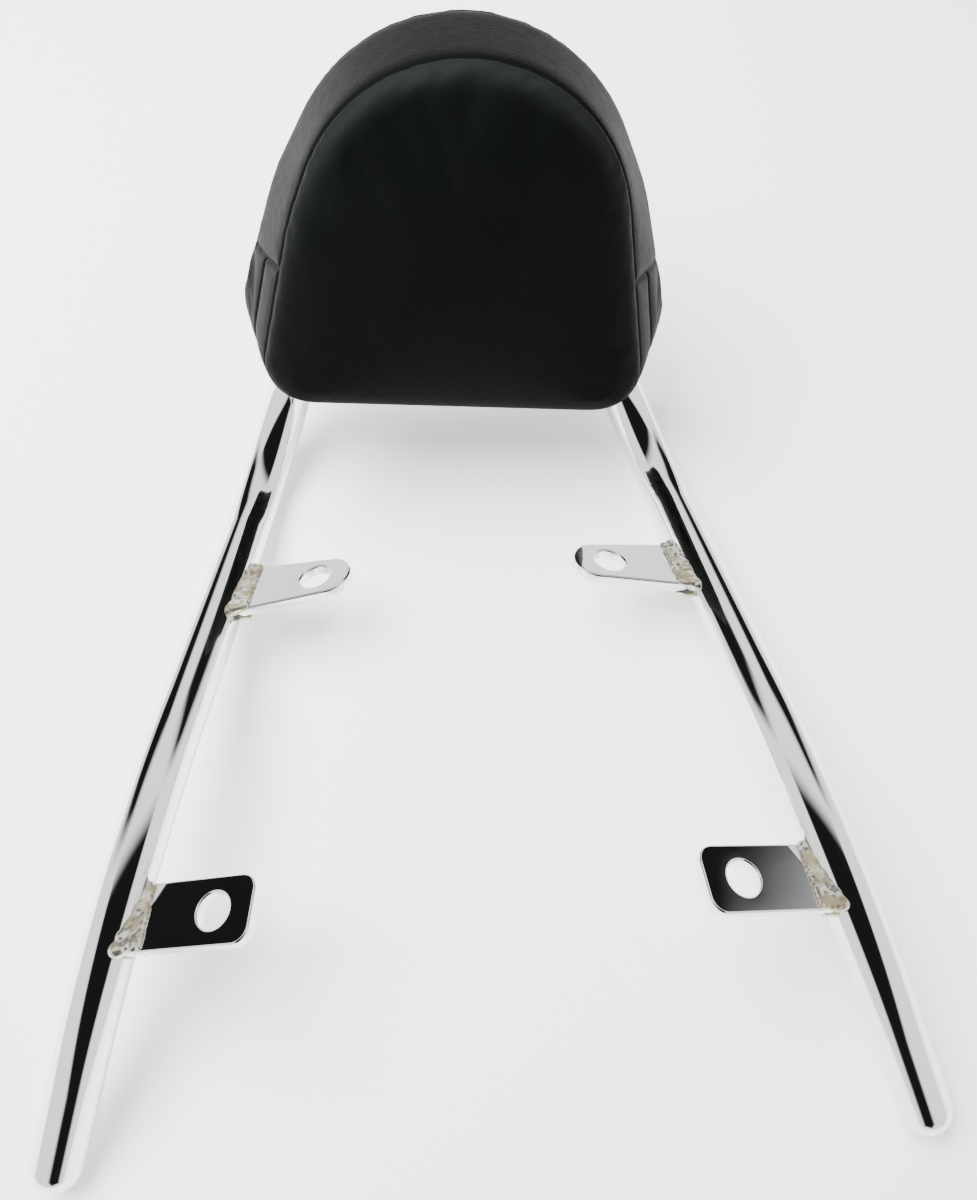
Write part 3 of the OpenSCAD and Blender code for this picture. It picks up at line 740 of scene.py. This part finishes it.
def puffed(piece, pinned, cap):
    """Fills the piece like a cushion: its skin swells between the seams, which stay where they are."""
    scene = bpy.context.scene
    before = [v.co.copy() for v in piece.data.vertices]
    seams = piece.vertex_groups.new(name="seams")
    seams.add([v.index for v in piece.data.vertices if pinned(v.co)], 1.0, "REPLACE")
    cloth = piece.modifiers.new("puff", "CLOTH")
    cloth.settings.use_pressure = True
    cloth.settings.uniform_pressure_force = FILL_PRESSURE
    cloth.settings.effector_weights.gravity = 0
    cloth.settings.vertex_group_mass = "seams"
    cloth.settings.quality = 5
    for number in range(1, FILL_FRAMES + 1):
        scene.frame_set(number)
    swollen = evaluated_mesh(piece)
    piece.modifiers.clear()
    for vertex, old, new in zip(piece.data.vertices, before, swollen.vertices):
        step = new.co - old
        vertex.co = old + step * (min(cap, step.length) / step.length if step.length > 1e-9 else 1)
    piece.vertex_groups.clear()
    bpy.data.meshes.remove(swollen)
    scene.frame_set(1)


class BACKREST_OT_rails(bpy.types.Operator):
    """Both bent rails with their domed tips, and the hoop inside the pad"""

    bl_idname = "backrest.rails"
    bl_label = "Rails and hoop"

    def execute(self, context):
        scene = context.scene
        line = FrameLine(scene.backrest_frame)
        chrome = chrome_material(scene.backrest_finish)
        for side in ("left", "right"):
            side_of = flipped if side == "left" else (lambda bm: bm)
            rail = bent_tube(line.rail, line.rail_radii, line.tube_r)
            placed(object_from(side_of(rail), f"{side}_chrome_rail", chrome), "chrome_tube", f"{side}_rail")
            plug = domed_plug(line.tip, (line.tip - line.crest).normalized(), line.tube_r)
            placed(object_from(side_of(plug), f"{side}_domed_tip", chrome), "chrome_tube", f"{side}_rail_cap")
        hoop = bent_tube([line.joint, line.shoulder, mirrored(line.shoulder), mirrored(line.joint)],
                         [0, line.sizes.hoop_r, line.sizes.hoop_r, 0], line.tube_r)
        placed(object_from(hoop, "chrome_hoop", chrome), "chrome_tube", "pad_hoop")
        return {"FINISHED"}


class BACKREST_OT_tabs(bpy.types.Operator):
    """The four bolt tabs"""

    bl_idname = "backrest.tabs"
    bl_label = "Bolt tabs"

    def execute(self, context):
        scene = context.scene
        tabs = scene.backrest_tabs
        line = FrameLine(scene.backrest_frame)
        chrome = bpy.data.materials["polished_chrome"]
        root = line.tube_r * 0.5 - tabs.hole_reach
        kinds = {"front": (front_outline(tabs, root), tabs.front_y, tabs.front_roll, tabs.front_pitch),
                 "rear": (rear_outline(tabs, root), tabs.rear_y, tabs.rear_roll, tabs.rear_pitch)}
        for end, (inside, y, roll, pitch) in kinds.items():
            place, _ = tab_place(line, y, roll, pitch)
            for side in ("left", "right"):
                bm = bored_plate(inside, tabs.hole_d / 2, tabs.thick, tabs.edge)
                bmesh.ops.translate(bm, verts=bm.verts, vec=(tabs.hole_reach, 0, 0))
                bmesh.ops.transform(bm, matrix=place, verts=bm.verts)
                if side == "left":
                    flipped(bm)
                piece = object_from(bm, f"{side}_{end}_bolt_tab", chrome, 50)
                flat = piece.modifiers.new("flat_faces", "WEIGHTED_NORMAL")
                flat.weight = 100
                flat.keep_sharp = True
                apply_modifiers(piece)
                placed(piece, "chrome_plate", f"{side}_{end}_tab")
        return {"FINISHED"}


class BACKREST_OT_welds(bpy.types.Operator):
    """The lumpy weld beads at the tabs' roots"""

    bl_idname = "backrest.welds"
    bl_label = "Welds"

    def execute(self, context):
        scene = context.scene
        tabs = scene.backrest_tabs
        line = FrameLine(scene.backrest_frame)
        surface = weld_material(scene.backrest_finish)
        kinds = {"front": (tabs.front_y, tabs.front_roll, tabs.front_pitch, tabs.front_w),
                 "rear": (tabs.rear_y, tabs.rear_roll, tabs.rear_pitch, tabs.rear_w)}
        for number, (end, (y, roll, pitch, width)) in enumerate(kinds.items()):
            for side in ("left", "right"):
                bm = weld_bead(line, tabs, y, roll, pitch, width, number * 2 + (side == "left"))
                if side == "left":
                    flipped(bm)
                bead = object_from(bm, f"{side}_{end}_weld_bead", surface)
                melted(bead)
                placed(bead, "weld", f"{side}_{end}_weld")
        return {"FINISHED"}


class BACKREST_OT_fixings(bpy.types.Operator):
    """The board, clips, screws and tee nuts inside the pad"""

    bl_idname = "backrest.fixings"
    bl_label = "Board and fixings"

    def execute(self, context):
        finish = context.scene.backrest_finish
        plywood, zinc = plywood_material(finish), zinc_material(finish)
        surfaces = {"pad_board": plywood, "left_clip": zinc, "right_clip": zinc, "top_clip": zinc,
                    "clip_screws": zinc, "tee_nuts": zinc}
        for name, surface in surfaces.items():
            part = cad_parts[name]
            part.data.materials.clear()
            part.data.materials.append(surface)
        return {"FINISHED"}


class BACKREST_OT_pad(bpy.types.Operator):
    """The filled leather pad: its cover panels, the welt along the front seam, and the foam"""

    bl_idname = "backrest.pad"
    bl_label = "Pad"

    def execute(self, context):
        scene = context.scene
        pad = scene.backrest_pad
        line = FrameLine(scene.backrest_frame)
        shape = PadShape(pad, line)
        finish = scene.backrest_finish
        front = leather_material("front_leather", finish.front, finish.front_lit_rim, finish.leather_gloss)
        band = leather_material("band_leather", finish.band, finish.band_lit_rim, finish.leather_gloss)
        form = object_from(shape.blank(-FULLNESS), "pad_form", front)
        remesh = form.modifiers.new("even", "REMESH")
        remesh.mode = "VOXEL"
        remesh.voxel_size = FORM_CELL
        smooth = form.modifiers.new("soften", "SMOOTH")
        smooth.factor = 0.5
        smooth.iterations = 2
        apply_modifiers(form)
        puffed(form, lambda p: shape.near_seam(p, PINNED_STRIP), pad.puff)
        finer = form.modifiers.new("finer", "SUBSURF")
        finer.levels = finer.render_levels = 2
        apply_modifiers(form)
        cover = bmesh.new()
        cover.from_mesh(form.data)
        self.cut_seams(cover, shape)
        self.draw_in(cover, shape)
        self.add_foam(cover, shape, finish)
        self.add_panels(cover, shape, front, band)
        self.add_welt(cover, shape, front)
        cover.free()
        bpy.data.objects.remove(form)
        return {"FINISHED"}

    def cut_seams(self, cover, shape):
        """Cuts the cover along every seam, so that no face crosses one."""
        pad = shape.pad
        tilt = Vector((0, math.cos(pad.band_seam_angle), -math.sin(pad.band_seam_angle)))
        planes = [((0, 0, pad.seam_front), (0, 0, 1)), ((0, 0, -pad.seam_back), (0, 0, 1)),
                  ((0, pad.band_seam_h, pad.seam_front), tilt), ((0, 0, pad.side_seam), (0, 0, 1)),
                  ((pad.lower_half, 0, 0), (1, 0, 0)), ((-pad.lower_half, 0, 0), (1, 0, 0))]
        for place, normal in planes:
            bmesh.ops.bisect_plane(cover, geom=cover.verts[:] + cover.edges[:] + cover.faces[:],
                                   dist=SEAM_SNAP, plane_co=place, plane_no=normal)

    def draw_in(self, cover, shape):
        """Draws the cover in along its seams, in a narrow valley with a soft shoulder, and lays a painted
        highlight weight along them.
        """
        pad = shape.pad
        cover.normal_update()
        of_face = {f: shape.panel(f.calc_center_median()) for f in cover.faces}
        seam_verts = {v for e in cover.edges if len({of_face[f] for f in e.link_faces}) > 1 for v in e.verts}
        tree = kdtree.KDTree(len(seam_verts))
        for i, v in enumerate(seam_verts):
            tree.insert(v.co, i)
        tree.balance()
        moves = []
        # Painted highlight: a weight near the seams, strongest at the top, that the leather turns into a
        # lighter colour in place of overhead light
        rim = cover.verts.layers.float.new("rim")
        for v in cover.verts:
            away = tree.find(v.co)[2]
            high = min(1, max(0, (v.co.y - pad.flank_h) / (pad.height - pad.flank_h)))
            v[rim] = (0.25 + 0.75 * high) * math.exp(-((away - pad.rim) / pad.rim_w) ** 2)
            depth = pad.groove * (VALLEY_SHARE * math.exp(-(away / VALLEY) ** 2)
                                  + (1 - VALLEY_SHARE) * math.exp(-(away / SHOULDER) ** 2))
            moves.append((v, v.normal * -depth))
        for v, step in moves:
            v.co += step
        cover.normal_update()

    def add_foam(self, cover, shape, finish):
        """The filling, a skin's thickness inside the cover."""
        foam = cover.copy()
        for v, step in [(v, v.normal * -shape.pad.foam_gap) for v in foam.verts]:
            v.co += step
        bmesh.ops.transform(foam, matrix=shape.to_part, verts=foam.verts)
        piece = object_from(foam, "pad_filling", foam_material(finish))
        placed(piece, "foam", "front_foam", "rear_foam")

    def add_panels(self, cover, shape, front, band):
        """One closed sheet of leather for each panel."""
        for name in COVER_PANELS:
            sheet = cover.copy()
            others = [f for f in sheet.faces if shape.panel(f.calc_center_median()) != name]
            bmesh.ops.delete(sheet, geom=others, context="FACES")
            thick = shape.pad.cover
            outer = sheet.faces[:]
            rim = [e for e in sheet.edges if e.is_boundary]
            inner = bmesh.ops.duplicate(sheet, geom=outer)
            inner_verts = [g for g in inner["geom"] if isinstance(g, bmesh.types.BMVert)]
            inner_faces = [g for g in inner["geom"] if isinstance(g, bmesh.types.BMFace)]
            for v, step in [(v, v.normal * -thick) for v in inner_verts]:
                v.co += step
            bmesh.ops.reverse_faces(sheet, faces=inner_faces)
            match = inner["vert_map"]
            for e in rim:
                a, b = e.verts
                sheet.faces.new((b, a, match[a], match[b]))
            bmesh.ops.transform(sheet, matrix=shape.to_part, verts=sheet.verts)
            leather, slot = (front, "front_leather") if name == "front_panel" else (band, "band_leather")
            piece = object_from(sheet, f"leather_{name}", leather, 70)
            placed(piece, slot, name)

    def add_welt(self, cover, shape, leather):
        """The thin welt in the valley of the front seam."""
        pad = shape.pad
        middle = Vector((0, pad.flank_h))
        seam = []
        for v in cover.verts:
            panels = {shape.panel(f.calc_center_median()) for f in v.link_faces}
            if "front_panel" in panels and len(panels) > 1:
                seam.append((math.atan2(v.co.y - middle.y, v.co.x), (v.co.xy - middle).length))
        seam.sort()
        turns = [turn for turn, _ in seam]
        points = []
        for step in range(WELT_STEPS):
            turn = math.tau * (step / WELT_STEPS - 0.5)
            nearest = bisect.bisect(turns, turn)
            near = [seam[(nearest + i) % len(seam)][1] for i in range(-2, 3)]
            points.append(middle + Vector((math.cos(turn), math.sin(turn))) * (sum(near) / len(near)))
        bm = bmesh.new()
        bmesh.ops.create_circle(bm, segments=10, radius=pad.welt_r)
        first = bm.edges[:]
        for v in bm.verts:
            v.co = (points[0].x - v.co.x, points[0].y, pad.seam_front + v.co.y)
        ring = first
        for i in range(1, WELT_STEPS):
            out = bmesh.ops.extrude_edge_only(bm, edges=ring)["geom"]
            verts = {g for g in out if isinstance(g, bmesh.types.BMVert)}
            turn = Matrix.Rotation(math.tau / WELT_STEPS, 4, "Z")
            move = Matrix.Translation((points[i].x, points[i].y, 0)) @ turn @ Matrix.Translation(
                (-points[i - 1].x, -points[i - 1].y, 0))
            bmesh.ops.transform(bm, matrix=move, verts=list(verts))
            ring = [g for g in out if isinstance(g, bmesh.types.BMEdge) and set(g.verts) <= verts]
        bmesh.ops.bridge_loops(bm, edges=ring + first)
        bmesh.ops.transform(bm, matrix=shape.to_part, verts=bm.verts)
        placed(object_from(bm, "front_seam_welt", leather), "front_leather", "front_piping")


class BACKREST_OT_stage(bpy.types.Operator):
    """The floor, the soft light and the camera"""

    bl_idname = "backrest.stage"
    bl_label = "Stage"

    def execute(self, context):
        studio = context.scene.backrest_studio
        self.add_floor(studio)
        self.add_room(studio)
        self.add_lights(studio)
        self.add_camera(studio)
        return {"FINISHED"}

    def add_floor(self, studio):
        bm = bmesh.new()
        bmesh.ops.create_grid(bm, x_segments=1, y_segments=1, size=FLOOR_HALF)
        bmesh.ops.translate(bm, verts=bm.verts, vec=(0, 0, CAD_BOX[0][2] - FLOOR_DROP))

        def build(tree):
            fibre = noise(tree, 60.0)
            return {"Base Color": opaque(studio.floor), "Roughness": 0.7 + fibre * 0.1,
                    "Specular IOR Level": 0.2, "Emission Color": (1, 1, 1, 1),
                    "Emission Strength": studio.floor_glow}
        floor = object_from(bm, "paper_floor", material("white_paper", build))

    def add_room(self, studio):
        """A white room with three dark areas that the chrome mirrors and the camera doesn't see."""
        world = bpy.data.worlds.new("studio_room")
        world.use_nodes = True
        tree = world.node_tree
        tree.nodes.clear()
        way = node(tree, "ShaderNodeTexCoord", output=0)
        split = tree.nodes.new("ShaderNodeSeparateXYZ")
        tree.links.new(way.out, split.inputs[0])
        x, y, z = (Socket(tree, split.outputs[i]) for i in range(3))
        sideways = x.math("ABSOLUTE", x)

        # Two dark areas beyond the pad, one on each side, the left one a little wider
        to_side = x.math("MAXIMUM", x, x * -0.92)
        aside = sideways.ramp(0.2, 0.38) * (1 - to_side.ramp(0.76, 0.95))
        back = aside * y.ramp(0.1, 0.35) * z.ramp(0.16, 0.26) * (1 - z.ramp(0.62, 0.85))

        # One on the side of the tips, narrow at the horizon and wide overhead
        spread = z * z * 0.75
        front = (1 - (sideways - spread).ramp(0.12, 0.3)) * (0 - y).ramp(-0.2, 0.1) * z.ramp(0.05, 0.15)

        seen_by_camera = node(tree, "ShaderNodeLightPath")
        dark = back.math("MAXIMUM", back, front) * (1 - seen_by_camera)
        tone = 1 - dark * (1 - studio.room_dark)
        light = node(tree, "ShaderNodeBackground", None,
                     {"Color": (1, 1, 1, 1), "Strength": tone * studio.room_light})
        node(tree, "ShaderNodeOutputWorld", None, {"Surface": light})
        bpy.context.scene.world = world

    def add_lights(self, studio):
        lamp = bpy.data.lights.new("overhead_softbox", "AREA")
        lamp.shape = "RECTANGLE"
        lamp.size, lamp.size_y = SOFTBOX_SIZE
        lamp.energy = studio.overhead
        softbox = bpy.data.objects.new("overhead_softbox", lamp)
        softbox.location = SOFTBOX_PLACE
        aim = SOFTBOX_AIM - softbox.location
        softbox.rotation_euler = aim.to_track_quat("-Z", "Y").to_euler()
        softbox.visible_glossy = False
        bpy.context.scene.collection.objects.link(softbox)

    def add_camera(self, studio):
        sight = bpy.data.cameras.new("camera")
        sight.sensor_fit = "VERTICAL"
        sight.sensor_height = SENSOR_MM
        sight.lens = SENSOR_MM * studio.focal_px / PHOTO_HEIGHT
        sight.clip_start = 0.01
        rows = [Vector((1, 0, 0)), Vector((0, math.sin(studio.pitch), math.cos(studio.pitch))),
                Vector((0, math.cos(studio.pitch), -math.sin(studio.pitch)))]
        turned = [Matrix.Rotation(studio.yaw, 3, "Z") @ row for row in rows]
        c, s = math.cos(studio.roll), math.sin(studio.roll)
        right = c * turned[0] + s * turned[1]
        up = -s * turned[0] + c * turned[1]
        turn = Matrix((right, up, -turned[2])).transposed()
        camera = bpy.data.objects.new("camera", sight)
        camera.matrix_world = Matrix.Translation(studio.place) @ turn.to_4x4()
        bpy.context.scene.collection.objects.link(camera)
        bpy.context.scene.camera = camera


class BACKREST_PT_panel(bpy.types.Panel):
    """Lists the steps that build the backrest"""

    bl_idname = "BACKREST_PT_panel"
    bl_label = "Backrest"
    bl_space_type = "VIEW_3D"
    bl_region_type = "UI"
    bl_category = "Backrest"

    def draw(self, context):
        for operator in OPERATORS:
            self.layout.operator(operator.bl_idname)


OPERATORS = (BACKREST_OT_rails, BACKREST_OT_tabs, BACKREST_OT_welds, BACKREST_OT_fixings, BACKREST_OT_pad,
             BACKREST_OT_stage)
GROUPS = {"backrest_frame": FrameSizes, "backrest_tabs": TabSizes, "backrest_pad": PadSizes,
          "backrest_finish": Finishes, "backrest_studio": StudioSettings}


def register():
    for name, group in GROUPS.items():
        bpy.utils.register_class(group)
        setattr(bpy.types.Scene, name, bpy.props.PointerProperty(type=group))
    for made in (*OPERATORS, BACKREST_PT_panel):
        bpy.utils.register_class(made)


def unregister():
    for made in (BACKREST_PT_panel, *reversed(OPERATORS)):
        bpy.utils.unregister_class(made)
    for name, group in reversed(GROUPS.items()):
        delattr(bpy.types.Scene, name)
        bpy.utils.unregister_class(group)


def main():
    register()
    bpy.ops.backrest.rails()
    bpy.ops.backrest.tabs()
    bpy.ops.backrest.welds()
    bpy.ops.backrest.fixings()
    bpy.ops.backrest.pad()
    bpy.ops.backrest.stage()


if __name__ == "__main__":
    main()
